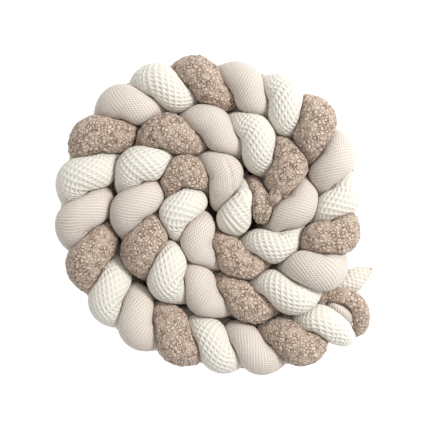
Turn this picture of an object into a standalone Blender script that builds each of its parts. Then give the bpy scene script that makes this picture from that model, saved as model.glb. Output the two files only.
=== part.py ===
"""Crib bumper: a stuffed three-strand plait, stood on its edge and coiled flat into a spiral.

Three soft fabric tubes (cream waffle, brown teddy, beige fine waffle) are plaited together. Seen from
above, each strand comes up in turn and crosses the top of the plait from its outer side to its inner side,
so the top shows one row of plump lobes, and the row winds inwards by two and a half turns. Each strand is
one filled solid with closed ends. The strands press each other flat where they meet, and the floor flattens
them underneath.
"""

from math import pi

import bpy
import numpy as np

# Driving sizes, in millimetres. They are turned into metres where the meshes are made.
MM = 0.001
STRAND_RADIUS = 29.0  # a strand's round section, where nothing presses on it
RISE = 31.0  # a strand's centre moves this far above and below the plait's mid height
SWAY = 14.0  # a strand's centre moves this far to each side of the plait's middle line
LAG = 0.3  # the sway comes this much later than the rise and fall, as an angle
LEAN = 0.35  # how far the outer side of the plait is pulled along towards the inner end
SITTING = 0.75  # lowest height of a centre over the floor, as a share of the radius: the floor flattens it
GAP = 0.3  # clear space between two strands
ORIGIN = (7.0, -2.1)  # plan position that becomes the middle of the part's box

# Mesh density.
AROUND = 44  # points around a section of the fine skin
AXIS_STEP = 3.5  # spacing of the centre line's points, which the squeezing is measured from
FINE_END = 40.0  # this near a closed end every centre-line point gets a section, elsewhere every second one
TRIANGLES = 5800  # faces kept for each strand, after the fine skin is thinned out
BEND_LIMIT = 0.9  # a section stops short of the centre of its own bend by this share
OWN_REACH = 130.0  # a strand also presses on itself where it comes back after this length

# The plait in plan: one row for each lobe on top, from the outer end (row 0) to the inner end.
# x, y: middle of the lobe in mm. size: how big the plait is there, against its full size.
LOBE_X, LOBE_Y, LOBE_SIZE = range(3)
LOBES = (
    (196, -150, 0.66),
    (174, -166, 0.87),
    (122, -192, 0.99),
    (61, -203, 0.95),
    (5, -198, 0.97),
    (-56, -182, 1.02),
    (-112, -157, 1.01),
    (-153, -119, 1.01),
    (-181, -64, 1.04),
    (-194, -5, 1.04),
    (-189, 56, 1.05),
    (-165, 115, 1.06),
    (-124, 160, 1.03),
    (-74, 188, 1.02),
    (-15, 197, 0.99),
    (50, 187, 0.95),
    (106, 164, 1.01),
    (148, 126, 1.07),
    (176, 75, 1.00),
    (186, 20, 0.94),
    (176, -34, 1.04),
    (151, -80, 1.10),
    (110, -115, 1.00),
    (48, -129, 0.91),
    (-16, -116, 0.95),
    (-66, -87, 1.05),
    (-98, -44, 1.08),
    (-112, 12, 1.05),
    (-101, 71, 1.06),
    (-61, 115, 1.05),
    (1, 126, 0.98),
    (65, 109, 0.99),
    (109, 67, 1.01),
    (121, 7, 0.96),
    (93, -47, 0.90),
    (33, -67, 0.88),
    (-24, -39, 0.95),
    (-48, 3, 1.02),
    (-39, 62, 1.00),
    (16, 52, 0.96),
    (39, 11, 0.92),
    (74, 10, 0.80),
    (100, 36, 0.60),
)

# Where each strand joins and leaves the plait's even run, and the points its two closed ends go through.
# x, y, z: centre of the section in mm. radius: round section there. The outer rows run up to the plait, the
# inner rows run on from it.
STRANDS = {
    "strand_cream": {
        "first_lobe": 1,
        "plaited": (0.90, 40.10),
        "colour": (0.86, 0.83, 0.74),
        "outer_end": (
            (252, -86, 24, 2),
            (245, -91, 25, 9),
            (232, -98, 27, 16.5),
            (217, -108, 29, 20),
            (202, -117, 32, 17),
            (188, -123, 30, 12),
            (187, -134, 20, 12),
            (201, -149, 15, 13),
            (209, -170, 14, 12),
            (215, -186, 29, 11),
            (211, -191, 44, 11.5),
            (203, -189, 56, 16),
            (192, -180, 66, 22),
        ),
        "inner_end": (
            (35, 2, 76, 27.5),
            (30, -11, 69, 27),
            (28, -17, 57, 21),
            (28, -17, 46, 9),
        ),
    },
    "strand_brown": {
        "first_lobe": 2,
        "plaited": (0.95, 39.90),
        "colour": (0.50, 0.38, 0.29),
        "outer_end": (
            (223, -196, 23, 3),
            (227, -186, 26, 11.5),
            (232, -167, 33, 15),
            (227, -147, 41, 15.5),
            (213, -132, 47, 15),
            (196, -127, 49, 14),
            (181, -129, 45, 12.5),
            (166, -133, 40, 13.5),
            (161, -152, 32, 17),
        ),
        "inner_end": (
            (56, 43, 50, 19),
            (63, 34, 66, 22),
            (69, 18, 79, 22.5),
            (74, 3, 78, 19.5),
            (76, -8, 70, 12),
            (76, -11, 66, 5),
        ),
    },
    "strand_beige": {
        "first_lobe": 3,
        "plaited": (0.80, 39.30),
        "colour": (0.66, 0.58, 0.52),
        "outer_end": (
            (222, -172, 22, 3),
            (217, -168, 27, 10),
            (208, -159, 36, 15),
            (196, -149, 42, 16.5),
            (185, -141, 41, 15),
            (179, -154, 38, 17),
        ),
        "inner_end": (
            (14, 20, 63, 20),
            (19, 14, 55, 15),
            (20, 12, 49, 6),
        ),
    },
}

# Small stuffed corners that stand out from a strand.
# start, tip: the ends of the corner's middle line. radius: its half width.
CORNERS = {"strand_brown": {"start": (70, 16, 82), "tip": (92, 24, 100), "radius": 9.0}}


def through(knots, at, points):
    """Smooth curve through the points, which stand at rising knot values, read off at the values `at`."""
    i = np.clip(np.searchsorted(knots, at, side="right") - 1, 0, len(knots) - 2)
    before, after = np.maximum(i - 1, 0), np.minimum(i + 2, len(knots) - 1)
    span = (knots[i + 1] - knots[i])[:, None]
    t = (at - knots[i])[:, None] / span
    leave = (points[i + 1] - points[before]) / (knots[i + 1] - knots[before])[:, None] * span
    arrive = (points[after] - points[i]) / (knots[after] - knots[i])[:, None] * span
    return (
        (2 * t**3 - 3 * t**2 + 1) * points[i]
        + (t**3 - 2 * t**2 + t) * leave
        + (3 * t**2 - 2 * t**3) * points[i + 1]
        + (t**3 - t**2) * arrive
    )


def plaited_points(first_lobe, start, end):
    """Centre and radius of a strand's sections along the even run of the plait, eight to a lobe."""
    lobes = np.array(LOBES, float)
    number = np.arange(len(lobes), dtype=float)
    at = np.arange(start, end, 0.125)
    middle = through(number, at, lobes)
    ahead = through(number, at + 0.01, lobes) - through(number, at - 0.01, lobes)
    ahead = ahead[:, :2]
    along = ahead / np.linalg.norm(ahead, axis=1)[:, None]
    outwards = np.stack([-along[:, 1], along[:, 0]], axis=1)
    size = middle[:, LOBE_SIZE]
    turn = 2 * pi * (at - first_lobe) / 3
    sway = -SWAY * size * np.sin(2 * turn - LAG)
    height = (RISE + SITTING * STRAND_RADIUS + RISE * np.cos(turn)) * size
    plan = middle[:, :2] + (outwards + LEAN * along) * sway[:, None]
    return np.column_stack([plan, height, STRAND_RADIUS * size])


def centre_line(strand):
    """The strand's centre line from tip to tip: points (n, 3), radii (n,) and lengths along it (n,)."""
    rows = np.vstack(
        [
            np.array(strand["outer_end"], float),
            plaited_points(strand["first_lobe"], *strand["plaited"]),
            np.array(strand["inner_end"], float),
        ]
    )
    knots = np.r_[0, np.cumsum(np.linalg.norm(np.diff(rows[:, :3], axis=0), axis=1))]
    fine = through(knots, np.arange(0, knots[-1], 1.0), rows)
    run = np.r_[0, np.cumsum(np.linalg.norm(np.diff(fine[:, :3], axis=0), axis=1))]
    count = int(round(run[-1] / AXIS_STEP))
    length = np.linspace(0, run[-1], count + 1)
    line = np.stack([np.interp(length, run, column) for column in fine.T], axis=1)
    line[:, :2] -= ORIGIN
    return line[:, :3], np.maximum(line[:, 3], 1.0), length


def untwisted_frames(points):
    """Tangent and two cross directions at each point, carried along without twist."""
    along = np.gradient(points, axis=0)
    along /= np.linalg.norm(along, axis=1)[:, None]
    side = np.zeros_like(points)
    side[0] = np.cross(along[0], (0, 0, 1))
    for i in range(len(points)):
        kept = side[max(i - 1, 0)]
        side[i] = kept - along[i] * (kept @ along[i])
        side[i] /= np.linalg.norm(side[i])
    return along, side, np.cross(along, side)


class Strand:
    """A strand's centre line with its frames, and the sections of its skin."""

    def __init__(self, name):
        self.name = name
        self.points, self.radius, self.length = centre_line(STRANDS[name])
        self.along, side, up = untwisted_frames(self.points)
        bend = np.gradient(self.along, axis=0) / np.gradient(self.length)[:, None]
        number = np.arange(len(self.points))
        from_end = np.minimum(self.length, self.length[-1] - self.length)
        self.rings = number[(number % 2 == 0) | (from_end < FINE_END)]
        angle = np.arange(AROUND) * 2 * pi / AROUND
        side, up = side[self.rings][:, None], up[self.rings][:, None]
        self.rays = np.cos(angle)[:, None] * side + np.sin(angle)[:, None] * up
        self.centre = self.points[self.rings]
        self.full = self.radius[self.rings]
        self.bend = bend[self.rings]

    def free_reach(self):
        """Each ray's length with no neighbour: the round section, cut by the floor and by its own bend."""
        drop = -self.rays[:, :, 2]
        to_floor = np.where(drop > 1e-6, self.centre[:, None, 2] / np.maximum(drop, 1e-6), 1e9)
        inwards = np.einsum("rac,rc->ra", self.rays, self.bend)
        to_bend = np.where(inwards > 1e-6, BEND_LIMIT / np.maximum(inwards, 1e-6), 1e9)
        reach = np.minimum(self.full[:, None], np.minimum(to_floor, to_bend))
        return np.maximum(reach, corner_reach(self)) if self.name in CORNERS else reach


def corner_reach(strand):
    """How far each ray stays inside the strand's small corner, 0 for a ray that misses it."""
    corner = CORNERS[strand.name]
    start, tip = np.array(corner["start"], float), np.array(corner["tip"], float)
    start[:2] -= ORIGIN
    tip[:2] -= ORIGIN
    reach = np.zeros(strand.rays.shape[:2])
    for length in np.arange(10, 50, 0.5):
        at = strand.centre[:, None] + strand.rays * length
        share = ((at - start) @ (tip - start) / ((tip - start) @ (tip - start))).clip(0, 1)
        inside = np.linalg.norm(at - start - share[:, :, None] * (tip - start), axis=2) < corner["radius"]
        reach[inside] = length
    return reach


def neighbours(strand, strands, nearest=150):
    """For each section, the nearest centre-line points of the other strands and of its own distant parts."""
    points = np.vstack([other.points for other in strands])
    radii = np.concatenate([other.radius for other in strands])
    distance = np.linalg.norm(strand.centre[:, None] - points[None], axis=2) - radii[None]
    before = sum(len(other.points) for other in strands[: strands.index(strand)])
    own = distance[:, before : before + len(strand.points)]
    own[np.abs(strand.length[None] - strand.length[strand.rings][:, None]) < OWN_REACH] = 1e9
    chosen = np.argpartition(distance, nearest, axis=1)[:, :nearest]
    return points[chosen], radii[chosen]


def pressed_reach(strand, strands):
    """Each ray's length once the neighbours press: both strands are squeezed by the same share there."""
    points, radii = neighbours(strand, strands)
    reach = strand.free_reach()
    for begin in range(0, len(reach), 60):
        part = slice(begin, begin + 60)
        centre, rays, full = strand.centre[part, None], strand.rays[part], strand.full[part, None]
        near, size = points[part, None], radii[part, None]
        low, high = np.zeros_like(reach[part]), reach[part].copy()
        for step in range(10):
            length = (low + high) / 2 if step else high
            at = centre + rays * length[:, :, None]
            theirs = (np.linalg.norm(at[:, :, None] - near, axis=3) / size).min(axis=2)
            over = ((length + GAP / 2) / full > theirs) & (theirs < 1.02)
            if step:
                high = np.where(over, length, high)
                low = np.where(over, low, length)
            else:
                low = np.where(over, low, high)
        reach[part] = low
    return reach


def skin(strand, reach):
    """Vertices and faces of the closed tube: the rings of sections, and a point on each end."""
    rings = strand.centre[:, None] + strand.rays * reach[:, :, None]
    first = strand.centre[0] - strand.along[0] * 0.8
    last = strand.centre[-1] + strand.along[-1] * 0.8
    vertices = np.vstack([rings.reshape(-1, 3), first, last])
    final = (len(rings) - 1) * AROUND
    edge = np.arange(AROUND)
    following = (edge + 1) % AROUND
    ring = np.arange(0, final, AROUND)[:, None]
    next_ring = ring + AROUND
    sides = np.stack([ring + edge, ring + following, next_ring + following, next_ring + edge], axis=2)
    start = [(final + AROUND, b, a) for a, b in zip(edge, following)]
    finish = [(final + AROUND + 1, final + a, final + b) for a, b in zip(edge, following)]
    return vertices, sides.reshape(-1, 4).tolist() + start + finish


def thinned(strand, vertices, faces):
    """The same skin with fewer triangles: vertices, faces, and how far along the strand each vertex lies."""
    mesh = bpy.data.meshes.new(strand.name + "_fine")
    mesh.from_pydata(vertices.tolist(), [], faces)
    run = mesh.attributes.new("run", "FLOAT", "POINT")
    lengths = strand.length[strand.rings]
    run.data.foreach_set("value", np.r_[np.repeat(lengths, AROUND), lengths[0], lengths[-1]])
    fine = bpy.data.objects.new(strand.name + "_fine", mesh)
    bpy.context.scene.collection.objects.link(fine)
    thinner = fine.modifiers.new("thin", "DECIMATE")
    thinner.ratio = TRIANGLES / (2 * len(vertices) - 4)
    thinner.use_collapse_triangulate = True
    evaluated = fine.evaluated_get(bpy.context.evaluated_depsgraph_get())
    kept = evaluated.to_mesh()
    points = np.empty(len(kept.vertices) * 3)
    kept.vertices.foreach_get("co", points)
    corners = np.empty(len(kept.loops), int)
    kept.loops.foreach_get("vertex_index", corners)
    along = np.empty(len(kept.vertices))
    kept.attributes["run"].data.foreach_get("value", along)
    evaluated.to_mesh_clear()
    bpy.data.objects.remove(fine)
    bpy.data.meshes.remove(mesh)
    return points.reshape(-1, 3), corners.reshape(-1, 3), along


def drawn_in(strand, strands, vertices, faces, run, rounds=12):
    """Flat faces cut corners, so vertices move inwards until every face clears the neighbours."""
    points, radii = neighbours(strand, strands)
    last = len(strand.points) - 1
    home = np.searchsorted(strand.length, run).clip(0, last)
    middle = np.sort(home[faces], axis=1)[:, 1]
    ring = np.searchsorted(strand.rings, middle).clip(0, len(strand.rings) - 1)
    window = (middle[:, None] + np.arange(-16, 17)).clip(0, last)
    shares = [(i, j, 5 - i - j) for i in range(6) for j in range(6 - i)]
    shares = np.array(shares, float) / 5
    vertices = vertices.copy()
    vertices[vertices[:, 2] < 1.0, 2] = 0
    for _ in range(rounds):
        excess = np.empty((len(faces), 3))
        for begin in range(0, len(faces), 400):
            part = slice(begin, begin + 400)
            at = np.einsum("sk,fkc->fsc", shares, vertices[faces[part]])[:, :, None]
            near = ring[part]
            theirs = np.linalg.norm(at - points[near][:, None], axis=3) / radii[near][:, None]
            theirs = theirs.min(axis=2)
            mine = np.linalg.norm(at - strand.points[window[part]][:, None], axis=3)
            mine = (mine / strand.radius[window[part]][:, None]).min(axis=2)
            share = np.minimum((mine - theirs) / 2, 1.01 - theirs)
            over = share * strand.full[near][:, None] + GAP / 2
            excess[part] = (over[:, :, None] * shares[None] * 1.5).clip(0).max(axis=1)
        pull = np.zeros(len(vertices))
        for corner in range(3):
            np.maximum.at(pull, faces[:, corner], excess[:, corner])
        if pull.max() <= 0.01:
            break
        inwards = strand.points[home] - vertices
        vertices += inwards * np.minimum(pull / np.linalg.norm(inwards, axis=1), 0.2)[:, None]
    vertices[vertices[:, 2] < 0.2, 2] = 0
    return vertices


def fabric(name, colour):
    material = bpy.data.materials.new(name)
    material.use_nodes = True
    shader = material.node_tree.nodes["Principled BSDF"]
    shader.inputs["Base Color"].default_value = (*colour, 1)
    shader.inputs["Roughness"].default_value = 0.9
    return material


def main():
    for obj in list(bpy.data.objects):
        bpy.data.objects.remove(obj)
    strands = [Strand(name) for name in STRANDS]
    for strand in strands:
        fine, quads = skin(strand, pressed_reach(strand, strands))
        vertices, faces, run = thinned(strand, fine, quads)
        vertices = drawn_in(strand, strands, vertices, faces, run)
        mesh = bpy.data.meshes.new(strand.name)
        mesh.from_pydata((vertices * MM).tolist(), [], faces.tolist())
        mesh.shade_smooth()
        mesh.materials.append(fabric(strand.name + "_fabric", STRANDS[strand.name]["colour"]))
        bpy.context.scene.collection.objects.link(bpy.data.objects.new(strand.name, mesh))
        low, high = vertices.min(axis=0), vertices.max(axis=0)
        print(strand.name, len(strand.rings), len(faces), np.round(low, 1), np.round(high, 1))


main()
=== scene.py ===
# %% [markdown]
# # A plaited crib bumper, coiled flat
# The real object is three stuffed cloth tubes, plaited together: cream waffle, brown teddy and beige fine
# waffle. The plait stands on its edge and is coiled flat, so from above it shows one row of plump lobes.
# The packed solids say where each tube runs. This script gives the tubes their cloth. It starts by loading
# them as a fixed frame. The dressed tubes have to stay the same size.

# %% The frame
from math import pi, radians

import bpy
import numpy as np
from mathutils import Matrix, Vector


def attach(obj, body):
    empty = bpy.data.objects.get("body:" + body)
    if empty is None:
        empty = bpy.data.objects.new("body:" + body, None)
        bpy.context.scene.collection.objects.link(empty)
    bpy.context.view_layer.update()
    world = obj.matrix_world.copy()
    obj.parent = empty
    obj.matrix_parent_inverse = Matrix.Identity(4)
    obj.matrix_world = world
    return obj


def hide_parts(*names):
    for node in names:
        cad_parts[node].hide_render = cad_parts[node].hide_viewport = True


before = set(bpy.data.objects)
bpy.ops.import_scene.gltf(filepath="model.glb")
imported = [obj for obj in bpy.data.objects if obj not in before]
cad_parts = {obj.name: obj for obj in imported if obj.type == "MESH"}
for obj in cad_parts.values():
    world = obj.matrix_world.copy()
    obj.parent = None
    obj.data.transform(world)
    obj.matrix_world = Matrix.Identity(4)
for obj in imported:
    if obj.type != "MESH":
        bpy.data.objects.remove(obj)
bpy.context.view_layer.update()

print("nodes", sorted(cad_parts))

# %% [markdown]
# ## The plait's route
# A real plait is made by laying three strands over each other in turn. It could be drawn strand by strand,
# but then each crossing would need its own points. Here one curve runs through the middle of each lobe on
# top, and one formula carries each strand round it: a full turn in three lobes, with two sways to the side.
# These are the sizes that the solids were built from, in millimetres.

# %% Sizes of the plait
MM = 0.001
STRAND_RADIUS = 29.0  # a strand's round section, where nothing presses on it
RISE = 31.0  # a strand's centre moves this far above and below the plait's mid height
SWAY = 14.0  # a strand's centre moves this far to each side of the plait's middle line
LAG = 0.3  # the sway comes this much later than the rise and fall, as an angle
LEAN = 0.35  # how far the outer side of the plait is pulled along towards the inner end
SITTING = 0.75  # lowest height of a centre over the floor, as a share of the radius
ORIGIN = (7.0, -2.1)  # plan position that is the middle of the part's box
CORE_STEP = 3.5  # spacing of the centre line's points
BEND_LIMIT = 0.9  # a section reaches at most this share of the way to the centre of its own bend
OWN_REACH = 130.0  # a strand also presses on itself where it comes back after this length
print("the plait's full height is", 2 * RISE + (SITTING + 1) * STRAND_RADIUS, "mm")


def in_part(*place):
    """A place in the part's own frame, from one that is counted from where the plait was laid out."""
    return np.array(place, float) - (*ORIGIN, 0)[: len(place)]


# %% [markdown]
# ## The lobes on top
# Each plump lobe is where one strand passes over the two others. The coil was laid down by hand, so a
# spiral's formula would miss most lobes. Each lobe's middle is a row of its own instead, from the outer end
# (row 0) to the inner end.

# %% One row for each lobe
# x, y and size: middle of the lobe, and how big the plait is there, against its full size. Each line is a
# beige, a cream and a brown lobe.
LOBES = (
    (196, -150, 0.66), (174, -166, 0.87), (122, -192, 0.99),
    (61, -203, 0.95), (5, -198, 0.97), (-56, -182, 1.02),
    (-112, -157, 1.01), (-153, -119, 1.01), (-181, -64, 1.04),
    (-194, -5, 1.04), (-189, 56, 1.05), (-165, 115, 1.06),
    (-124, 160, 1.03), (-74, 188, 1.02), (-15, 197, 0.99),
    (50, 187, 0.95), (106, 164, 1.01), (148, 126, 1.07),
    (176, 75, 1.00), (186, 20, 0.94), (176, -34, 1.04),
    (151, -80, 1.10), (110, -115, 1.00), (48, -129, 0.91),
    (-16, -116, 0.95), (-66, -87, 1.05), (-98, -44, 1.08),
    (-112, 12, 1.05), (-101, 71, 1.06), (-61, 115, 1.05),
    (1, 126, 0.98), (65, 109, 0.99), (109, 67, 1.01),
    (121, 7, 0.96), (93, -47, 0.90), (33, -67, 0.88),
    (-24, -39, 0.95), (-48, 3, 1.02), (-39, 62, 1.00),
    (16, 52, 0.96), (39, 11, 0.92), (74, 10, 0.80),
    (100, 36, 0.60),
)
print(len(LOBES), "lobes on top")

# %% [markdown]
# ## The strands' ends
# Past the plait's even run each strand goes its own way: the outer ends curl round each other at the tail,
# and the inner ends tuck in. No formula knows this, so the ends are points to pass through. The radius
# shrinks to a few millimetres at a tip, where the cloth is gathered and closed.

# %% Ends of the strands
# plaited: the lobe numbers where the strand joins and leaves the even run.
# The points are x, y, z, the centre of the section, and the radius of the round section there.
STRANDS = {
    "strand_cream": {
        "first_lobe": 1,
        "plaited": (0.90, 40.10),
        "outer_end": (
            (252, -86, 24, 2), (245, -91, 25, 9), (232, -98, 27, 16.5), (217, -108, 29, 20),
            (202, -117, 32, 17), (188, -123, 30, 12), (187, -134, 20, 12), (201, -149, 15, 13),
            (209, -170, 14, 12), (215, -186, 29, 11), (211, -191, 44, 11.5), (203, -189, 56, 16),
            (192, -180, 66, 22),
        ),
        "inner_end": (
            (35, 2, 76, 27.5), (30, -11, 69, 27), (28, -17, 57, 21), (28, -17, 46, 9),
        ),
    },
    "strand_brown": {
        "first_lobe": 2,
        "plaited": (0.95, 39.90),
        "outer_end": (
            (223, -196, 23, 3), (227, -186, 26, 11.5), (232, -167, 33, 15), (227, -147, 41, 15.5),
            (213, -132, 47, 15), (196, -127, 49, 14), (181, -129, 45, 12.5), (166, -133, 40, 13.5),
            (161, -152, 32, 17),
        ),
        "inner_end": (
            (56, 43, 50, 19), (63, 34, 66, 22), (69, 18, 79, 22.5), (74, 3, 78, 19.5),
            (76, -8, 70, 12), (76, -11, 66, 5),
        ),
    },
    "strand_beige": {
        "first_lobe": 3,
        "plaited": (0.80, 39.30),
        "outer_end": (
            (222, -172, 22, 3), (217, -168, 27, 10), (208, -159, 36, 15), (196, -149, 42, 16.5),
            (185, -141, 41, 15), (179, -154, 38, 17),
        ),
        "inner_end": (
            (14, 20, 63, 20), (19, 14, 55, 15), (20, 12, 49, 6),
        ),
    },
}
print(sum(len(row["outer_end"] + row["inner_end"]) for row in STRANDS.values()), "points lead the six ends")

# %% [markdown]
# ## A smooth curve through given points
# A Bezier curve object would need its handles placed by hand. Cubic pieces with matching slopes (Hermite
# pieces) find their slopes from the neighbouring points.

# %% The smooth curve
def through(knots, at, points):
    """Smooth curve through the points, which stand at rising knot values, read off at the values `at`: on
    each span a cubic that leaves and arrives with the slope of the chord between the neighbours."""
    i = np.clip(np.searchsorted(knots, at, side="right") - 1, 0, len(knots) - 2)
    before, after = np.maximum(i - 1, 0), np.minimum(i + 2, len(knots) - 1)
    span = (knots[i + 1] - knots[i])[:, None]
    t = (at - knots[i])[:, None] / span
    leave = (points[i + 1] - points[before]) / (knots[i + 1] - knots[before])[:, None] * span
    arrive = (points[after] - points[i]) / (knots[after] - knots[i])[:, None] * span
    return (
        (2 * t**3 - 3 * t**2 + 1) * points[i]
        + (t**3 - 2 * t**2 + t) * leave
        + (3 * t**2 - 2 * t**3) * points[i + 1]
        + (t**3 - t**2) * arrive
    )


half_way = through(np.arange(len(LOBES)), np.array([10.5]), np.array(LOBES, float))[0]
print("between lobes 10 and 11 the plait's middle is at", half_way[:2].round(1))

# %% [markdown]
# ## A centre line for each strand
# Along the smooth curve through the lobes, one formula gives each strand's sway and height. The line is then
# cut into equal short steps, because the tube's skin is built on sections that stand square to it.

# %% Centre lines
PLAITED_STEP = 0.125  # spacing of the plaited run's points, in lobes


def unit(vectors):
    """The vectors, each made 1 long."""
    return vectors / np.linalg.norm(vectors, axis=-1, keepdims=True)


def plaited_points(first_lobe, at):
    """Centre and radius of a strand's sections at the lobe numbers `at`. The strand turns once in three
    lobes: its height follows the cosine of the turn, and its sway to the side the sine of twice the turn."""
    lobes = np.array(LOBES, float)
    number = np.arange(len(lobes), dtype=float)
    middle = through(number, at, lobes)
    along = unit((through(number, at + 0.01, lobes) - through(number, at - 0.01, lobes))[:, :2])
    outwards = np.stack([-along[:, 1], along[:, 0]], axis=1)
    size = middle[:, 2]
    turn = 2 * pi * (at - first_lobe) / 3
    sway = -SWAY * size * np.sin(2 * turn - LAG)
    height = (RISE + SITTING * STRAND_RADIUS + RISE * np.cos(turn)) * size
    plan = middle[:, :2] + (outwards + LEAN * along) * sway[:, None]
    return np.column_stack([plan, height, STRAND_RADIUS * size])


def way_along(points):
    """Length of the way through the points, from the first one up to each."""
    return np.r_[0, np.cumsum(np.linalg.norm(np.diff(points[:, :3], axis=0), axis=1))]


def read_off(at, length, values):
    """The columns of values, which are known at each length, read off at other lengths."""
    return np.stack([np.interp(at, length, column) for column in values.T], axis=1)


def centre_line(strand):
    """The strand's centre line from tip to tip: points (n, 3), radii (n,) and lengths along it (n,)."""
    plaited = plaited_points(strand["first_lobe"], np.arange(*strand["plaited"], PLAITED_STEP))
    rows = np.vstack([strand["outer_end"], plaited, strand["inner_end"]])
    knots = way_along(rows)
    fine = through(knots, np.arange(0, knots[-1], 1.0), rows)
    run = way_along(fine)
    length = np.linspace(0, run[-1], int(round(run[-1] / CORE_STEP)) + 1)
    line = read_off(length, run, fine)
    line[:, :2] -= ORIGIN
    return line[:, :3], np.maximum(line[:, 3], 1.0), length


CORES = {name: centre_line(strand) for name, strand in STRANDS.items()}
for name, (points, _, length) in CORES.items():
    print(name, "is", round(length[-1]), "mm long, in", len(points), "points")

# %% [markdown]
# ## Rays that know which way is up
# The skin is a grid: rings along the strand, and points around each ring. Each point lies on a ray that
# leaves the centre line at a right angle. Rays carried along without twist would let the seam wander. Here
# the first ray of each ring points down, so the cloth's seam runs underneath, and the points stand closer
# together on top, where the plait is looked at.

# %% Directions and rings
# How far apart the rings stand at the plait's top, at its bottom and at a strand's tip, against the mean.
TOP_PITCH, LOW_PITCH, TIP_PITCH = 0.62, 1.35, 0.35
TOP_HEIGHT, LOW_HEIGHT = 85, 25  # where a centre line is at the plait's top or bottom
END_ZONE = 40.0  # from the tip, the pitch rises by 1 within this length


def soft_step(values, start=0, end=1):
    """Rises from 0 at start to 1 at end, level at both: 3 v^2 - 2 v^3, with v the share of the way."""
    v = ((values - start) / (end - start)).clip(0, 1)
    return v * v * (3 - 2 * v)


def carried_frames(points):
    """Tangent and two cross directions at each point, carried along the line without twist: each side
    direction is the one before it, less its part along the new tangent."""
    along = unit(np.gradient(points, axis=0))
    side = np.zeros_like(points)
    side[0] = np.cross(along[0], (0, 0, 1))
    for i in range(len(points)):
        kept = side[max(i - 1, 0)]
        side[i] = kept - along[i] * (kept @ along[i])
        side[i] /= np.linalg.norm(side[i])
    return along, side, np.cross(along, side)


def ring_lengths(length, height, rings):
    """Where the rings stand along the strand: the running total of 1 / pitch, cut into equal steps."""
    pitch = LOW_PITCH + (TOP_PITCH - LOW_PITCH) * soft_step(height, LOW_HEIGHT, TOP_HEIGHT)
    from_end = np.minimum(length, length[-1] - length)
    pitch = np.minimum(pitch, TIP_PITCH + from_end / END_ZONE)
    total = np.r_[0, np.cumsum(np.diff(length) / ((pitch[1:] + pitch[:-1]) / 2))]
    return np.interp(np.linspace(0, total[-1], rings), total, length)


points, _, length = CORES["strand_brown"]
spacing = np.diff(ring_lengths(length, points[:, 2], 400))
print("400 rings would stand", spacing.min().round(1), "to", spacing.max().round(1), "mm apart")

# %% [markdown]
# ## Sections
# A section is one ring with all that the pressing needs to know. Where a strand runs straight up or down,
# no ray of it is the lowest, so its turn there is read between the slopes before and after.

# %% Sections and rays
TOP_PULL = 0.35  # how strongly the points around a ring gather towards its top
STEEP = 0.35  # under this share of level direction a strand counts as upright


def sections(name, rings, around):
    """The skin's rings before anything is pressed: centre, tangent, radius, bend, and a ray for each point,
    at the angle p + TOP_PULL * sin(p) from the lowest ray, with p in even steps."""
    points, radius, length = CORES[name]
    along, side, up = carried_frames(points)
    bend = np.gradient(along, axis=0) / np.gradient(length)[:, None]
    level = np.hypot(side[:, 2], up[:, 2])
    highest = np.unwrap(np.arctan2(up[:, 2], side[:, 2]))
    sloping = level > STEEP
    highest = np.interp(length, length[sloping], highest[sloping])
    at = ring_lengths(length, points[:, 2], rings)
    step = np.arange(around) * 2 * pi / around
    angle = step + TOP_PULL * np.sin(step)
    turned = (np.interp(at, length, highest)[:, None] + pi + angle)[:, :, None]
    along, side = unit(read_off(at, length, along)), unit(read_off(at, length, side))
    up = np.cross(along, side)
    return {
        "name": name,
        "length": at,
        "centre": read_off(at, length, points),
        "along": along,
        "radius": np.interp(at, length, radius),
        "bend": read_off(at, length, bend),
        "angle": angle,
        "rays": np.cos(turned) * side[:, None] + np.sin(turned) * up[:, None],
    }


sample = sections("strand_brown", 400, 24)
print("a sample of the brown tube has", sample["rays"].shape[:2], "rings and rays")

# %% [markdown]
# ## Tubes that press on each other
# Where two stuffed tubes meet, both give way by the same share of their radius, and the floor presses the
# lowest tubes flat. A cloth simulation of ten metres of stuffed tube would be slow and would not land on the
# same lobes each time. The balance has an exact answer instead. Along a ray of the length L, the strand
# itself is squeezed to L / radius, and a neighbour whose centre lies at q from the ray's start is squeezed
# to |L ray - q| / its radius. Where the two are equal is the wall between them, and L solves a quadratic.

# %% Walls between tubes
GAP = 0.2  # each side of a wall keeps this clear of it
NEAREST = 150  # centre-line points that can press on one section
FAR_WALL = 1.6  # a wall further away than this many radii stops nothing
BATCH = 50  # rings at a time, to spare memory
NO_LIMIT = 1e9  # length of a ray that nothing stops


def over(top, bottom):
    """top / bottom, and NO_LIMIT where bottom isn't above 0."""
    return np.where(bottom > 1e-9, top / np.maximum(bottom, 1e-9), NO_LIMIT)


def free_reach(part):
    """Each ray's length with no neighbour: the round section, cut by the floor and by its own bend."""
    to_floor = over(part["centre"][:, None, 2], -part["rays"][:, :, 2])
    to_bend = over(BEND_LIMIT, np.einsum("rac,rc->ra", part["rays"], part["bend"]))
    return np.minimum(part["radius"][:, None], np.minimum(to_floor, to_bend))


def neighbours(part):
    """For each ring, the nearest centre-line points of the other strands and of this strand's far parts."""
    distance = []
    for name, (points, radius, length) in CORES.items():
        apart = np.linalg.norm(part["centre"][:, None] - points[None], axis=2) - radius[None]
        if name == part["name"]:
            apart[np.abs(part["length"][:, None] - length[None]) < OWN_REACH] = NO_LIMIT
        distance.append(apart)
    chosen = np.argpartition(np.hstack(distance), NEAREST, axis=1)[:, :NEAREST]
    points = np.vstack([core[0] for core in CORES.values()])
    radius = np.concatenate([core[1] for core in CORES.values()])
    return points[chosen], radius[chosen]


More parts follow.
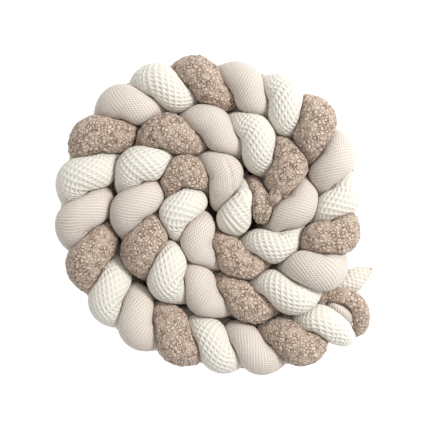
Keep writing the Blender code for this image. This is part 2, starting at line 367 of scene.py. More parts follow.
def wall_reach(part):
    """Each ray's length up to the first wall: the least positive L with (1 - k^2) L^2 - 2 (ray . q) L + |q|^2
    = 0, where k is the neighbour's radius over this strand's."""
    points, radius = neighbours(part)
    reach = np.full(part["rays"].shape[:2], NO_LIMIT)
    for begin in range(0, len(reach), BATCH):
        rows = slice(begin, begin + BATCH)
        q = points[rows] - part["centre"][rows, None]
        full = part["radius"][rows, None, None]
        a = 1 - (radius[rows, None] / full) ** 2
        b = -2 * np.einsum("rac,rnc->ran", part["rays"][rows], q)
        c = (q * q).sum(axis=2)[:, None]
        inside = b * b - 4 * a * c
        wall = np.where(inside >= 0, over(2 * c, np.sqrt(inside.clip(0)) - b), NO_LIMIT)
        reach[rows] = np.where(wall > FAR_WALL * full, NO_LIMIT, wall).min(axis=2) - GAP
    return reach


pressed = wall_reach(sample) < free_reach(sample)
print("neighbours press on", round(100 * pressed.mean()), "percent of the brown tube's skin")

# %% [markdown]
# ## The small stuffed corner
# At its inner end the brown tube was folded before it was closed, and a corner of it pokes out. It could be
# a piece of its own, but it is the same cloth, so it is added to the rays that pass through it: a short bar
# with a round end, and each ray reaches to where it leaves the bar.

# %% Corner rays
CORNER = {"strand": "strand_brown", "start": (70, 16, 82), "tip": (92, 24, 100), "radius": 9.0}
CORNER_NEAR = 60.0  # rings further from its start can't reach it
CORNER_TRIES = np.arange(10, 50, 0.25)  # lengths that each ray is tried at
OWN_EDGE = 1.02  # a corner point counts as this many radii out of its own strand at most


def from_line(points, start, end):
    """Distance of each point from its nearest place on the line, start + share * way with share 0 to 1."""
    way = end - start
    share = ((points - start) @ way / (way @ way)).clip(0, 1)
    return np.linalg.norm(points - start - share[..., None] * way, axis=-1)


def corner_reach(part):
    """How far each ray stays inside the corner, which is all within its radius of its middle line."""
    start, tip = in_part(*CORNER["start"]), in_part(*CORNER["tip"])
    reach = np.zeros(part["rays"].shape[:2])
    near = np.linalg.norm(part["centre"] - start, axis=1) < CORNER_NEAR
    for length in CORNER_TRIES:
        at = part["centre"][near, None] + part["rays"][near] * length
        reach[near] = np.where(from_line(at, start, tip) < CORNER["radius"], length, reach[near])
    return reach


def clear_corner(part, wall):
    """The corner's reach, kept whole where its end lies in no neighbour, and else cut at the wall. A point
    lies in a neighbour when it is nearer to its centre, against its radius, than to this strand's own."""
    reach = corner_reach(part)
    rows = np.flatnonzero(reach.max(axis=1))
    points, radius = (values[rows] for values in neighbours(part))
    ends = part["centre"][rows, None] + part["rays"][rows] * reach[rows, :, None]
    theirs = np.linalg.norm(ends[:, :, None] - points[:, None], axis=3) / radius[:, None]
    own = (reach[rows] / part["radius"][rows, None]).clip(0, OWN_EDGE)
    taken = (theirs.min(axis=2) < own) | (reach[rows] == 0)
    reach[rows] = np.where(taken, np.minimum(reach[rows], wall[rows]), reach[rows])
    return reach


print((corner_reach(sample) > 0).sum(), "of the sample's rays pass through the corner")

# %% [markdown]
# ## Creases and bends
# Stuffed cloth rolls into a crease and never meets it at a sharp edge. And where a tube bends more tightly
# than it is thick, its sections run into each other on the inner side and leave a pinch, where real filling
# would push the cloth out. A sculpted fix would hold for one bend only. These formulas take the edges down
# and lay a smooth chord over each pinch.

# %% Rolled creases and filled bends
ROLL = 9.0  # the cloth starts to roll into a crease at this distance from the wall
ROUNDING = 6  # how often corners are taken down
FILL_REACH = 36.0  # a pinched point takes the mean of the skin this far along both ways
# Filling starts at the first and is whole at the second: height of the section, upward part of the ray, and
# radius * bend.
FILL_HEIGHT, FILL_RISE, FILL_BEND = (50, 65), (-0.3, 0), (0.5, 0.9)


def soft_least(first, second, width):
    """The lower of the two, rounded off where they are nearer than the width: least - (width - apart)^2 /
    (4 width)."""
    near = (width - np.abs(first - second)).clip(0)
    return np.minimum(first, second) - near * near / (4 * width)


def rounded(reach, times):
    """Takes sharp corners down: each time, a ray gets the lower of its length and its neighbours' mean."""
    for _ in range(times):
        along = (np.vstack([reach[:1], reach[:-1]]) + np.vstack([reach[1:], reach[-1:]])) / 2
        around = (np.roll(reach, 1, axis=1) + np.roll(reach, -1, axis=1)) / 2
        reach = np.minimum(reach, (along + around) / 2)
    return reach


def filled_bends(part, points, room):
    """Fills pinches. Where a ray points into a bend tighter than the tube, and room (0 to 1) says that no
    wall is near, the point moves to the mean of its column's points, each weighed by
    exp(-(distance along / FILL_REACH)^2 / 2)."""
    inwards = np.einsum("rac,rc->ra", part["rays"], part["bend"]) * part["radius"][:, None]
    upper = soft_step(part["centre"][:, 2:], *FILL_HEIGHT) * soft_step(part["rays"][:, :, 2], *FILL_RISE)
    tight = soft_step(inwards, *FILL_BEND) * upper * room
    length = part["length"]
    nearness = np.exp(-(((length[:, None] - length[None]) / FILL_REACH) ** 2) / 2) * np.gradient(length)
    nearness /= nearness.sum(axis=1, keepdims=True)
    mean = (nearness @ points.reshape(len(points), -1)).reshape(points.shape)
    return points + tight[:, :, None] * (mean - points)


print("a crease between two even tubes is rolled", ROLL / 4, "mm deep")

# %% [markdown]
# ## From rings to a closed mesh
# The rings and their points make a grid of four-sided faces, and a fan of triangles closes each end. The
# mesh and its maps are both read off the ring and the column of each face corner. Columns are counted on
# past the last, so that a map's last column of faces can end where the first began.

# %% Face corners
def face_corners(rings, around):
    """Ring and column of each face corner: four to a face between two rings, then three to a face of both
    ends' fans. The first fan's tip counts as ring -1, and the last one's as ring number `rings`."""
    ring, column = (grid.reshape(-1, 1) for grid in np.mgrid[: rings - 1, :around])
    fan = np.arange(around)[:, None]
    ring_of = ring + (0, 0, 1, 1), 0 * fan + (-1, 0, 0), 0 * fan + (rings, rings - 1, rings - 1)
    column_of = column + (0, 1, 1, 0), fan + (0, 1, 0), fan + (0, 0, 1)
    return [np.concatenate([part.ravel() for part in parts]) for parts in (ring_of, column_of)]


print("a tube of 1000 rings with 80 points has", len(face_corners(1000, 80)[0]), "face corners")

# %% [markdown]
# ## A map for pictures of the finish
# For pictures of the finish, each face needs a place of its own in a map. A tube's skin is long and narrow,
# so it is cut across into strips that lie one above the other in a square.

# %% The picture map
BAKE_STRIPS = 5
EDGE = 0.005  # clear share of the square beside a strip's ends
SIDE = 0.02  # clear share of a strip's width along both sides


def picture_map(rings, around, ring_of, column_of):
    """Place of each face corner in the square: u runs along a strip, and v is (strip + share of the way
    around) / number of strips. A fan's tip lies EDGE outside of its strip's end, between two columns."""
    per = -(-(rings - 1) // BAKE_STRIPS)
    quads = 4 * (rings - 1) * around
    strip = np.r_[np.repeat(ring_of[:quads:4], 4), np.repeat([0, rings - 2], 3 * around)] // per
    along = ring_of.clip(0, rings - 1)
    tip = ring_of - along
    u = EDGE + (1 - 3 * EDGE) * (along - strip * per) / per + EDGE * tip
    v = (strip + SIDE + (1 - 2 * SIDE) * (column_of + 0.5 * np.abs(tip)) / around) / BAKE_STRIPS
    return np.stack([u, v], axis=1)


print("its picture map runs to", picture_map(1000, 80, *face_corners(1000, 80)).max(axis=0).round(3))

# %% [markdown]
# ## One closed tube
# Blender keeps a mesh as three lists: where the points are, which points each face joins, and where in that
# second list each face starts. `from_pydata` takes Python lists, which is slow for this many faces, so the
# arrays go in with `foreach_set`. A UV map has one pair of numbers for each face corner.

# %% Closed tubes
def in_scene(name, data):
    """A new object in the scene, with that data."""
    made = bpy.data.objects.new(name, data)
    bpy.context.scene.collection.objects.link(made)
    return made


def closed_tube(name, points, first, last, maps):
    """A mesh object from a grid of points (rings, around, 3) in mm, a point for each end, and UV maps as
    grids (rings, around + 1, 2)."""
    rings, around = points.shape[:2]
    ring_of, column_of = face_corners(rings, around)
    along = ring_of.clip(0, rings - 1)
    corners = along * around + column_of % around
    corners[ring_of < 0] = rings * around
    corners[ring_of == rings] = rings * around + 1
    vertices = np.vstack([points.reshape(-1, 3), first, last]) * MM
    sizes = np.repeat([4, 3], [(rings - 1) * around, 2 * around])
    mesh = bpy.data.meshes.new(name)
    mesh.vertices.add(len(vertices))
    mesh.vertices.foreach_set("co", vertices.ravel().astype(np.float32))
    mesh.loops.add(len(corners))
    mesh.loops.foreach_set("vertex_index", corners.astype(np.int32))
    mesh.polygons.add(len(sizes))
    mesh.polygons.foreach_set("loop_start", np.r_[0, np.cumsum(sizes)[:-1]].astype(np.int32))
    layers = {map_name: values[along, column_of] for map_name, values in maps.items()}
    layers["OFBake"] = picture_map(rings, around, ring_of, column_of)
    for map_name, values in layers.items():
        layer = mesh.uv_layers.new(name=map_name)
        layer.data.foreach_set("uv", values.ravel().astype(np.float32))
    mesh.update(calc_edges=True)
    mesh.shade_smooth()
    return in_scene(name, mesh)


def skin_normals(points):
    """Outward direction at each point of a closed grid: the cross product of the steps around and along."""
    around = np.roll(points, -1, axis=1) - np.roll(points, 1, axis=1)
    along = np.gradient(points, axis=0)
    return unit(np.cross(around, along) + 1e-9)


outwards = skin_normals(sample["centre"][:, None] + sample["rays"])
print("the sample's faces look outwards:", bool(((outwards * sample["rays"]).sum(axis=2) > 0).all()))

# %% [markdown]
# ## The skin laid flat
# Both waffle cloths sit askew on their tubes, because each tube was twisted as it was plaited. On each lobe
# the ridges run straight, and from one lobe to the next they turn where nobody looks. Blender can unwrap a
# mesh, but it knows nothing of the lobes. So a formula unrolls the skin into a flat plan: its middle line
# keeps its headings, and each ring lies square across it, stretched out to its real length.

# %% Flat plan of a skin
LEVEL = 0.3  # over this share of level direction a strand has a heading
MOST_BEND = 0.025  # 1/mm, the tightest bend that still stretches the cloth


def unrolled(part):
    """The skin laid flat, seen from above: heading (rings,), middle (rings, 2) and points (rings, around + 1,
    2). The middle is the running sum of heading * step * (1 + radius * bend), the length on the bends' outer
    side. A point lies radius * (angle - half a turn) to the right of it."""
    along, radius = part["along"], part["radius"]
    level = np.hypot(along[:, 0], along[:, 1]) > LEVEL
    heading = np.unwrap(np.arctan2(along[level, 1], along[level, 0]))
    heading = np.interp(part["length"], part["length"][level], heading)
    stretch = 1 + radius * np.minimum(np.linalg.norm(part["bend"], axis=1), MOST_BEND)
    ahead = np.stack([np.cos(heading), np.sin(heading)], axis=1)
    step = np.diff(part["length"], prepend=0)[:, None] * stretch[:, None]
    middle = np.cumsum(ahead * step, axis=0)
    right = np.stack([ahead[:, 1], -ahead[:, 0]], axis=1)
    across = radius[:, None] * (np.r_[part["angle"], 2 * pi] - pi)[None]
    return heading, middle, middle[:, None] + right[:, None] * across[:, :, None]


flat = unrolled(sample)[1]
print("laid flat, the brown tube's box is", np.ptp(flat, axis=0).round(), "mm")

# %% [markdown]
# ## The cloth's own coordinates
# On the flat plan a family of straight ridges is one sum: place along the family's direction, over the
# pitch. The whole part counts the ridges, and the rest says where between two of them the point lies. The
# finish could use a picture of the weave, but counts stay sharp at any size.

# %% Ridge counts
# Both ridge families' pitch in mm and direction across the ridges, in degrees from the strand's heading.
# seen: by lobe, where the direction across the first family, seen from above, differs from that.
WEAVES = {
    "strand_cream": {
        "pitch": (8.5, 6.8),
        "turn": (-133, -61),
        "seen": {1: 5, 4: -27, 10: 63, 13: 3, 19: 75, 22: 0, 28: 43, 34: 18, 37: 73, 40: 38},
    },
    "strand_beige": {
        "pitch": (4.1, 3.3),
        "turn": (-129, -63),
        "seen": {
            3: 0, 6: -45, 9: 88, 12: 31, 15: -29, 18: -81,
            21: 33, 24: -34, 27: 78, 30: -21, 33: 73, 36: -52,
        },
    },
}
HEIGHT_SHARE = 0.6  # how much a ring's height counts when a lobe's top ring is looked for
TURNING = (0.25, 0.75)  # the cloth turns between these shares of the way from lobe to lobe


def lobe_rings(part, lobes):
    """For each lobe, the ring where its distance in plan to the lobe's middle, less HEIGHT_SHARE of its
    height, is least."""
    places = np.array([LOBES[lobe][:2] for lobe in lobes], float) - ORIGIN
    apart = np.linalg.norm(part["centre"][:, None, :2] - places[None], axis=2)
    return (apart - HEIGHT_SHARE * part["centre"][:, None, 2]).argmin(axis=0)


def weave_grid(name, part):
    """Ridge counts of both families at each point: each lobe has its own straight count, and from lobe to
    lobe one is blended into the next on the hidden half of the way, with equal counts in its middle."""
    weave = WEAVES[name]
    lobes = range(STRANDS[name]["first_lobe"] % 3 or 3, len(LOBES) - 2, 3)
    heading, middle, places = unrolled(part)
    tops = lobe_rings(part, lobes)
    number = np.arange(len(middle))
    counts = []
    for pitch, turn in zip(weave["pitch"], weave["turn"]):
        total, weight = 0, 0
        met, met_at = 0.0, middle[0]
        for i, (lobe, top) in enumerate(zip(lobes, tops)):
            facing = heading[top] + radians(turn)
            if lobe in weave["seen"]:
                off = radians(weave["seen"][lobe] - weave["turn"][0]) - heading[top]
                facing += (off + pi / 2) % pi - pi / 2
            across = np.array([np.cos(facing), np.sin(facing)]) / pitch
            count = (places - met_at) @ across + met
            share = np.ones(len(middle))
            if i:
                share *= soft_step((number - tops[i - 1]) / (top - tops[i - 1]), *TURNING)
            if i + 1 < len(tops):
                share *= 1 - soft_step((number - top) / (tops[i + 1] - top), *TURNING)
                half_way = middle[(top + tops[i + 1]) // 2]
                met, met_at = (half_way - met_at) @ across + met, half_way
            total, weight = total + count * share[:, None], weight + share[:, None]
        counts.append(total / weight)
    return np.stack(counts, axis=2)


for name in WEAVES:
    along_top = weave_grid(name, sections(name, 400, 24))[:, 12]
    print(name, "crosses", np.ptp(along_top, axis=0).round(), "ridges of its families along its top")

# %% [markdown]
# ## Relief
# The large waffle's hollows are deep enough to cast shade and to notch the tube's outline, so they are in
# the mesh. The teddy's pile gives its tube a lumpy outline. The fine waffle is only bump, because its cells
# are hardly larger than the mesh's own. Where tubes press on each other the relief is pressed flat.

# %% Relief in the mesh
WAFFLE_DEPTH = 0.9  # of the large waffle's hollows
PILE_DEPTH = 0.9  # of the teddy's lumps
PILE_SIZE = 9.0  # from one lump to the next
PILE_SEED = 4
# Round this place the cream cloth is pulled tight: within the first length only the first family's ridges
# are left, and past the second all are there.
PULLED = in_part(22, -16, 86)
PULLED_REACH = (16.0, 24.0)
OPEN = (0.84, 0.94)  # relief starts at the first share of the free length, and is whole at the second
SEAM_SPAN = 0.3  # relief fades within this angle of the seam


def lumps(points, size, seed, waves=40):
    """Soft random lumps, mostly from -1 to 1: plane waves of about one wavelength in random directions, added
    up and divided by the square root of their number."""
    chance = np.random.default_rng(seed)
    direction = unit(chance.normal(size=(waves, 3)))
    pitch = size * chance.uniform(0.75, 1.35, waves)
    phase = chance.uniform(0, 2 * pi, waves)
    total = np.zeros(points.shape[:-1])
    for way, long, shift in zip(direction, pitch, phase):
        total += np.cos(2 * pi * (points @ way) / long + shift)
    return total / np.sqrt(waves)


def waffle_hollow(weave):
    """From 0 on the ridges to 1 in the middle of a cell: the product of both counts' squared sines."""
    return (np.sin(pi * weave[..., 0]) * np.sin(pi * weave[..., 1])) ** 2


def slack(points):
    """0 where the cream cloth is pulled tight, and 1 where it isn't."""
    return soft_step(np.linalg.norm(points - PULLED, axis=-1), *PULLED_REACH)


def openness(part, reach, free):
    """1 where nothing presses and the seam is far. It falls to 0 as a ray is cut short, and along the seam,
    which runs underneath."""
    seam = np.minimum(part["angle"], 2 * pi - part["angle"])[None]
    return soft_step(reach / free, *OPEN) * soft_step(seam, 0, SEAM_SPAN)


pile = PILE_DEPTH * lumps(sample["centre"], PILE_SIZE, PILE_SEED)
print("the pile's lumps reach from", pile.min().round(1), "to", pile.max().round(1), "mm")

# %% [markdown]
# ## Folds and a seam
# One beige lobe shows its lengthwise seam, and two brown lobes have a fold where the cloth was pushed
# together. They could be strips of their own, but stitches only pull a line in, so the skin is pressed in
# along a path, with the depth of a bell curve across it.

# %% Pressed lines
# Strand, width and depth of the line, and the plan points that it runs through.
FOLDS = (
    ("strand_beige", 1.8, 3.0, ((19, 80), (24, 66), (28, 53), (29, 34))),
    ("strand_brown", 2.5, 2.5, ((-3, 232), (8, 224), (18, 218))),
    ("strand_brown", 2.5, 2.5, ((176, 146), (179, 135), (181, 122))),
)
FOLD_HEIGHT = (55, 75)  # a fold starts at the first height and is whole at the second


def fold_depth(name, points):
    """How far each point is pressed in: depth * exp(-(distance in plan / width)^2) of the deepest fold there,
    and 0 in the plait's lower half."""
    total = np.zeros(points.shape[:-1])
    upper = soft_step(points[..., 2], *FOLD_HEIGHT)
    for strand, width, depth, path in FOLDS:
        path = [in_part(*place) for place in path if strand == name]
        for start, end in zip(path[:-1], path[1:]):
            apart = from_line(points[..., :2], start, end)
            total = np.maximum(total, depth * np.exp(-((apart / width) ** 2)) * upper)
    return total


print(len(FOLDS), "lines are pressed into the tubes from above")

# %% [markdown]
# ## The three tubes
# Rays, walls, creases, weave and relief now make one mesh for each strand. A mesh for each lobe would show
# its joins. The grids keep each tube under 200,000 triangles, with faces of about two millimetres on top.

# %% The tubes
ROLL_SHARE = 0.5  # of the radius, the most that ROLL may be on a thin tip
CLEAR_WALL = 4.0  # filling works fully where the wall is this far away
TIP_LENGTH = 0.8  # the closing point stands this far past the last ring
# Rings along the strand, and points around each ring.
GRIDS = {"strand_cream": (1230, 80), "strand_brown": (1230, 80), "strand_beige": (1100, 64)}


def make_tube(name, rings, around):
    """The strand's skin as a mesh object, with its relief and its weave coordinates."""
    part = sections(name, rings, around)
    free = free_reach(part)
    wall = wall_reach(part)
    high = soft_step(1 - np.abs(part["angle"] / pi - 1))
    reach = soft_least(free, wall, np.minimum(ROLL, ROLL_SHARE * part["radius"])[:, None] * high + 0.01)
    reach = rounded(reach, ROUNDING)
    if name == CORNER["strand"]:
        reach = np.maximum(reach, clear_corner(part, wall))
    points = part["centre"][:, None] + part["rays"] * reach[:, :, None]
    points = filled_bends(part, points, soft_step(wall - reach, 0, CLEAR_WALL))
    maps = {}
    lift = np.zeros_like(reach)
    if name in WEAVES:
        maps["weave"] = weave_grid(name, part)
    if name == "strand_cream":
        lift = -WAFFLE_DEPTH * waffle_hollow(maps["weave"][:, :-1]) * slack(points)
    elif name == "strand_brown":
        lift = PILE_DEPTH * lumps(points, PILE_SIZE, PILE_SEED)
    lift *= openness(part, reach, free)
    lift -= fold_depth(name, points)
    points = points + skin_normals(points) * lift[:, :, None]
    points[:, :, 2] = np.maximum(points[:, :, 2], 0)
    first = part["centre"][0] - part["along"][0] * TIP_LENGTH
    last = part["centre"][-1] + part["along"][-1] * TIP_LENGTH
    return closed_tube(name.replace("strand", "tube"), points, first, last, maps)


TUBES = {name: make_tube(name, *size) for name, size in GRIDS.items()}
for tube in TUBES.values():
    print(tube.name, sum(len(face.vertices) - 2 for face in tube.data.polygons), "triangles")

# %% [markdown]
# ## Writing shader maths as Python
# A cloth's pattern is arithmetic on its coordinates. Wiring a Math node for each step by hand hides the
# formula. Here a class wraps a node's output and its operators add the Math nodes, so it reads as Python.

# %% A value that writes its own nodes
class Value:
    """A number socket that can be added, multiplied and so on. Each operator adds one Math node."""

    def __init__(self, finish, socket):
        self.finish, self.socket = finish, socket

    def maths(self, operation, *operands):
        """Adds one Math node that works on these numbers or Values."""
        links = dict(enumerate(operands))
        return self.finish.node("ShaderNodeMath", {"operation": operation}, links, 0)

    def __add__(self, other):
        return self.maths("ADD", self, other)

    def __rsub__(self, other):
        return self.maths("SUBTRACT", other, self)

    def __mul__(self, other):
        return self.maths("MULTIPLY", self, other)

    __radd__, __rmul__ = __add__, __mul__

    def highest(self, other):
        """The larger of the two."""
        return self.maths("MAXIMUM", self, other)

    def folded(self, size):
        """Runs from 0 up to size and back again, over and over."""
        return self.maths("PINGPONG", self, size)

    def step(self, start, end):
        """Rises smoothly from 0 at start to 1 at end."""
        links = {"Value": self, "From Min": start, "From Max": end}
        settings = {"interpolation_type": "SMOOTHSTEP"}
        return self.finish.node("ShaderNodeMapRange", settings, links, 0)


print("a Value knows + - * and", [name for name in vars(Value) if name[0] != "_"])

# %% [markdown]
# ## A finish
# All three cloths need the same few moves: coordinates, noise, a mix of two colours and a bump. They could
# be wired three times over, but a class with one method for each keeps the finishes short.

# %% A material that is built node by node
class Finish:
    """A material that is built up one node at a time."""

    def __init__(self, name):
        self.material = bpy.data.materials.new(name)
        self.material.use_nodes = True
        self.nodes = self.material.node_tree.nodes
        self.shader = self.nodes["Principled BSDF"]

    def feed(self, node, links):
        """Sets the node's sockets to values, or links them to Values."""
        for name, value in links.items():
            if isinstance(value, Value):
                self.material.node_tree.links.new(value.socket, node.inputs[name])
            else:
                node.inputs[name].default_value = value

    def node(self, kind, settings, links, output):
        """Adds a node: its settings first, then what its sockets get. Gives the output as a Value."""
        made = self.nodes.new(kind)
        for name, value in settings.items():
            setattr(made, name, value)
        self.feed(made, links)
        return Value(self, made.outputs[output])

    def vector(self, operation, links, output=0):
        """Adds a Vector Math node."""
        return self.node("ShaderNodeVectorMath", {"operation": operation}, links, output)

    def mix(self, factor, first, second):
        """Colour between first and second: first at a factor of 0, second at 1."""
        return self.node("ShaderNodeMix", {"data_type": "RGBA"}, {0: factor, 6: first, 7: second}, 2)

    def weave(self):
        """Both ridge counts, from the piece's own map."""
        map_node = self.node("ShaderNodeUVMap", {"uv_map": "weave"}, {}, 0)
        split = self.node("ShaderNodeSeparateXYZ", {}, {0: map_node}, 0)
        return split, Value(self, split.socket.node.outputs[1])

    def place(self):
        """The point's own place in the part, in metres."""
        return self.node("ShaderNodeTexCoord", {}, {}, "Object")

    def distance(self, point):
        """How far the shaded point is from that one, in metres."""
        return self.vector("DISTANCE", {0: self.place(), 1: tuple(point)}, "Value")

    def noise(self, scale, detail=1.0, roughness=0.5, place=None, output="Fac"):
        """Soft noise from about 0.3 to 0.7, with `scale` lumps to a metre."""
        links = {"Scale": scale, "Detail": detail, "Roughness": roughness, "Vector": place or self.place()}
        return self.node("ShaderNodeTexNoise", {}, links, output)

    def bump(self, height, depth, under=None):
        """A bump of that depth in metres, where height runs from 0 to 1."""
        links = {"Height": height, "Distance": depth, "Strength": 1.0}
        if under:
            links["Normal"] = under
        return self.node("ShaderNodeBump", {}, links, "Normal")

    def shade(self, colour, roughness, normal, sheen):
        """Feeds the shader. The sheen is the fine nap that lights up where cloth turns away from the eye."""
        links = {"Base Color": colour, "Roughness": roughness, "Normal": normal, "Sheen Weight": sheen}
        self.feed(self.shader, {**links, "Sheen Roughness": 0.5})
        return self.material


print("a Finish knows", [name for name in vars(Finish) if name[0] != "_"])

# %% [markdown]
# ## Cream waffle
# Each cell is an inverted pyramid between thin ridges. In the formula, each family of ridges is a wall that
# rises in a straight line from the middle of the cell to the ridge, and the cloth is the higher of the two
# walls. The mesh holds the soft form, and the bump adds the sharp one.

# %% Waffle finishes
KNOT = in_part(252, -86, 24) * MM  # where the cream tube's outer end is tied
TIED = ((0.45, 0.31, 0.21, 1), 0.005, 0.009)  # the thread's colour, and where it starts and ends to fade
# Painted shade: the cream cloth within 60 mm of the knot darkens towards this colour.
PAINTED_KNOT_SHADE = ((0.66, 0.62, 0.54, 1), 0.0, 0.06)  # the same for the cloth
YARN_SCALE, UNEVEN_SCALE = 900, 35  # lumps to a metre of the yarn's bump, and of the hollows' shade


def waffle(name, ridge, hollow, depth, thread, ribbed, knot=None):
    """Cloth of square cells: ridge is the cloth's own colour, and hollow is painted shade that darkens the
    middle of each cell. depth is the cells' depth and thread the yarn bump's, both in metres. ribbed is how
    much the first family's ridges stand over the others. At the knot the brown thread that ties the end
    shows, and the cloth round it gets painted shade."""
    finish = Finish(name)
    a, b = finish.weave()
    wall_a = 1 - 2 * a.folded(0.5)
    wall_b = 1 - 2 * b.folded(0.5)
    if knot is not None:
        wall_b = wall_b * finish.distance(PULLED * MM).step(*(reach * MM for reach in PULLED_REACH))
    cell = wall_a.highest(wall_b)
    height = wall_a * ribbed + cell * (1 - ribbed)
    yarn = finish.noise(YARN_SCALE, 2.0, 0.6)
    uneven = finish.noise(UNEVEN_SCALE)
    # Painted shade: the middle of each cell takes the darker hollow colour, more in some places than others.
    colour = finish.mix((1 - cell) * (0.6 + 0.6 * uneven), ridge, hollow)
    if knot is not None:
        for shade, start, end in (PAINTED_KNOT_SHADE, TIED):
            colour = finish.mix(finish.distance(knot).step(start, end), shade, colour)
    normal = finish.bump(yarn, thread, finish.bump(height, depth))
    return finish.shade(colour, 0.9, normal, sheen=0.15)


# Each pair: the cloth's own colour on the ridges, then the painted shade in the cells' hollows.
CREAM_CLOTH_AND_HOLLOW_SHADE = (0.835, 0.80, 0.72, 1), (0.76, 0.715, 0.62, 1)
BEIGE_CLOTH_AND_HOLLOW_SHADE = (0.84, 0.76, 0.68, 1), (0.38, 0.31, 0.26, 1)
CREAM = waffle("cream_waffle", *CREAM_CLOTH_AND_HOLLOW_SHADE, depth=0.0016, thread=0.0002, ribbed=0.1, knot=KNOT)
BEIGE = waffle("beige_waffle", *BEIGE_CLOTH_AND_HOLLOW_SHADE, depth=0.0008, thread=0.0001, ribbed=0.2)
print("the waffle finishes have", len(CREAM.node_tree.nodes), "and", len(BEIGE.node_tree.nodes), "nodes")

# %% [markdown]
# ## Teddy pile
# Real teddy cloth is a knit with a long pile that is curled by heat, so it stands in small round tufts with
# creases winding between them, dark with shade. Each tuft could be a lump in the mesh, but that would take
# hundreds of thousands of faces for what is hardly a millimetre high. Here the tufts are cells in space: a
# Voronoi pattern gives the distance to the nearest wall between two cells, noise bends the walls, and the
# distance makes both the tuft's rounded top, as a bump, and painted shade that darkens the crease.

# %% Teddy finish
TUFT_SCALE, DRIFT_SCALE = 182.0, 170.0  # tufts to a metre, and lumps to a metre of what bends their walls
DRIFT = 0.009  # how far the walls are bent at most, in metres
# PATCH_SCALE sets the patches where the creases' painted shade is darker.
CURL_SCALE, PATCH_SCALE = 500, 90  # lumps to a metre of the fine curls, and of where creases are darker
TUFT_HEIGHT = 0.0012  # in metres


def teddy(name, tip, root):
    """Curled pile: tufts are the cells of a warped Voronoi pattern in the tip colour, with painted shade that
    darkens the creases between them towards the root colour. Smaller curls ride on them as fine noise."""
    finish = Finish(name)
    place = finish.place()
    drift = finish.noise(DRIFT_SCALE, 2.0, place=place, output="Color")
    drift = finish.vector("SUBTRACT", {0: drift, 1: (0.5, 0.5, 0.5)})
    drift = finish.vector("SCALE", {0: drift, "Scale": DRIFT})
    warped = finish.vector("ADD", {0: place, 1: drift})
    links = {"Scale": TUFT_SCALE, "Vector": warped}
    edge = finish.node("ShaderNodeTexVoronoi", {"feature": "DISTANCE_TO_EDGE"}, links, "Distance")
    # Painted shade: the creases between tufts darken towards the root colour, more in some patches than
    # others.
    patchy_shade = finish.noise(PATCH_SCALE)
    crease = (1 - edge.step(0.0, 0.2)) * (0.45 + 0.55 * patchy_shade.step(0.35, 0.6))
    curl = finish.noise(CURL_SCALE, place=warped)
    height = edge.step(0.0, 0.3) + curl * 0.2
    colour = finish.mix(crease, tip, root)
    return finish.shade(colour, 0.95, finish.bump(height, TUFT_HEIGHT), sheen=0.2)


# root is painted shade: the dark colour that the creases between tufts take.
BROWN = teddy("brown_teddy", tip=(0.68, 0.535, 0.43, 1), root=(0.16, 0.10, 0.06, 1))
print("the teddy finish has", len(BROWN.node_tree.nodes), "nodes")

# %% [markdown]
# ## Dressing the tubes
# The colours are measured against the photo, lobe by lobe, in the light that comes below. Each tube rides
# on the part's only body and takes the place of the plain solid that it was made from.

# %% Materials on the tubes
MATERIALS = {"strand_cream": CREAM, "strand_brown": BROWN, "strand_beige": BEIGE}
for name, tube in TUBES.items():
    tube.data.materials.append(MATERIALS[name])
    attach(tube, "root")
    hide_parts(name)
    print(tube.name, "wears", tube.data.materials[0].name)

# %% [markdown]
# ## An eye that looks straight down
# The photo is taken from straight above. A view with no perspective would be simpler, but in the photo the
# outer lobes lean away a little, as they do from near. So the camera stands a metre over the lobes.

# %% Camera
EYE_HEIGHT = 1.085  # over the floor, in metres
FIELD = 0.642  # how wide the view is, a metre away from the eye
camera = bpy.data.cameras.new("camera")
camera.sensor_width = 36
camera.lens = camera.sensor_width / FIELD
eye = in_scene("camera", camera)
eye.location = (*in_part(1.5, 0) * MM, EYE_HEIGHT)
bpy.context.scene.camera = eye
print("camera at", [round(v, 3) for v in eye.location], "with a lens of", round(camera.lens, 1), "mm")

# %% [markdown]
# ## White paper
# The coil lies on white paper with hardly a shadow on it. Brighter lamps would bleach the cloth too, so the
# paper itself glows a little. Where the coil covers it, the paper is painted dark brown instead, as painted
# shade for the deep gaps between lobes.

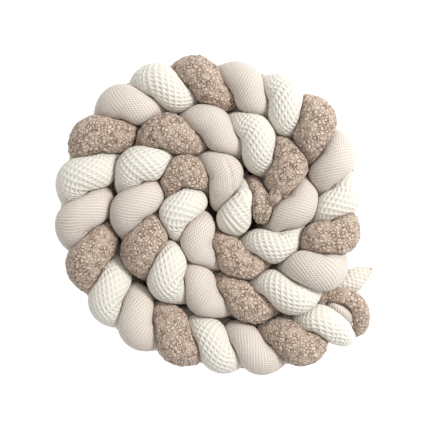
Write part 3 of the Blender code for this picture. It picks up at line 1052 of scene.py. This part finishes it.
# %% Paper floor
# Distances from the middle in metres: painted shade within the first, white from the second, glowing from the
# third.
PAINTED_SHADE_TO, PALE_FROM, GLOWS_FROM = 0.15, 0.19, 0.225
floor_mesh = bpy.data.meshes.new("floor")
floor_mesh.from_pydata([(-4, -4, 0), (4, -4, 0), (4, 4, 0), (-4, 4, 0)], [], [(0, 1, 2, 3)])
floor = in_scene("floor", floor_mesh)
paper = Finish("paper")
spread = paper.vector("LENGTH", {0: paper.place()}, "Value")
glow = paper.mix(spread.step(PALE_FROM, GLOWS_FROM), (0, 0, 0, 1), (1, 1, 1, 1))
# Painted shade: the paper's colour is dark brown under the coil, where it shows through the gaps.
shaded = paper.mix(spread.step(PAINTED_SHADE_TO, PALE_FROM), (0.24, 0.17, 0.12, 1), (0.9, 0.9, 0.9, 1))
links = {"Emission Color": glow, "Emission Strength": 0.6, "Base Color": shaded, "Roughness": 1.0}
paper.feed(paper.shader, links)
floor_mesh.materials.append(paper.material)
print("the paper glows from", GLOWS_FROM, "m outwards")

# %% [markdown]
# ## Soft light from the upper right
# The shade on each lobe falls to the lower left and has no sharp edge, as a sun lamp's would. So the light
# comes from a wide square lamp, and the white world and a weak second lamp lighten the shade. The Standard
# view keeps the colours as they are measured.

# %% World and lamps
world = bpy.data.worlds.new("studio")
world.use_nodes = True
sky = world.node_tree.nodes["Background"].inputs
sky["Color"].default_value = (1, 1, 1, 1)
sky["Strength"].default_value = 0.46
bpy.context.scene.world = world
bpy.context.scene.view_settings.view_transform = "Standard"


def lamp(name, place, size, power):
    """A square soft lamp turned towards the middle of the coil: place and size in metres, power in watts."""
    light = bpy.data.lights.new(name, "AREA")
    light.size = size
    light.energy = power
    made = in_scene(name, light)
    made.location = place
    made.rotation_euler = (-Vector(place)).to_track_quat("-Z", "Y").to_euler()
    print(name, "lamp:", power, "W,", round(Vector(place).length, 2), "m away")


lamp("key", (1.55, 0.85, 1.75), 0.7, 50)
lamp("fill", (-0.3, 0.3, 2.4), 1.6, 9)

# %% [markdown]
# ## The cloth against the solids
# The cloth may stand a millimetre out of the solids or sink into them, but the dressed part has to fill the
# same box.
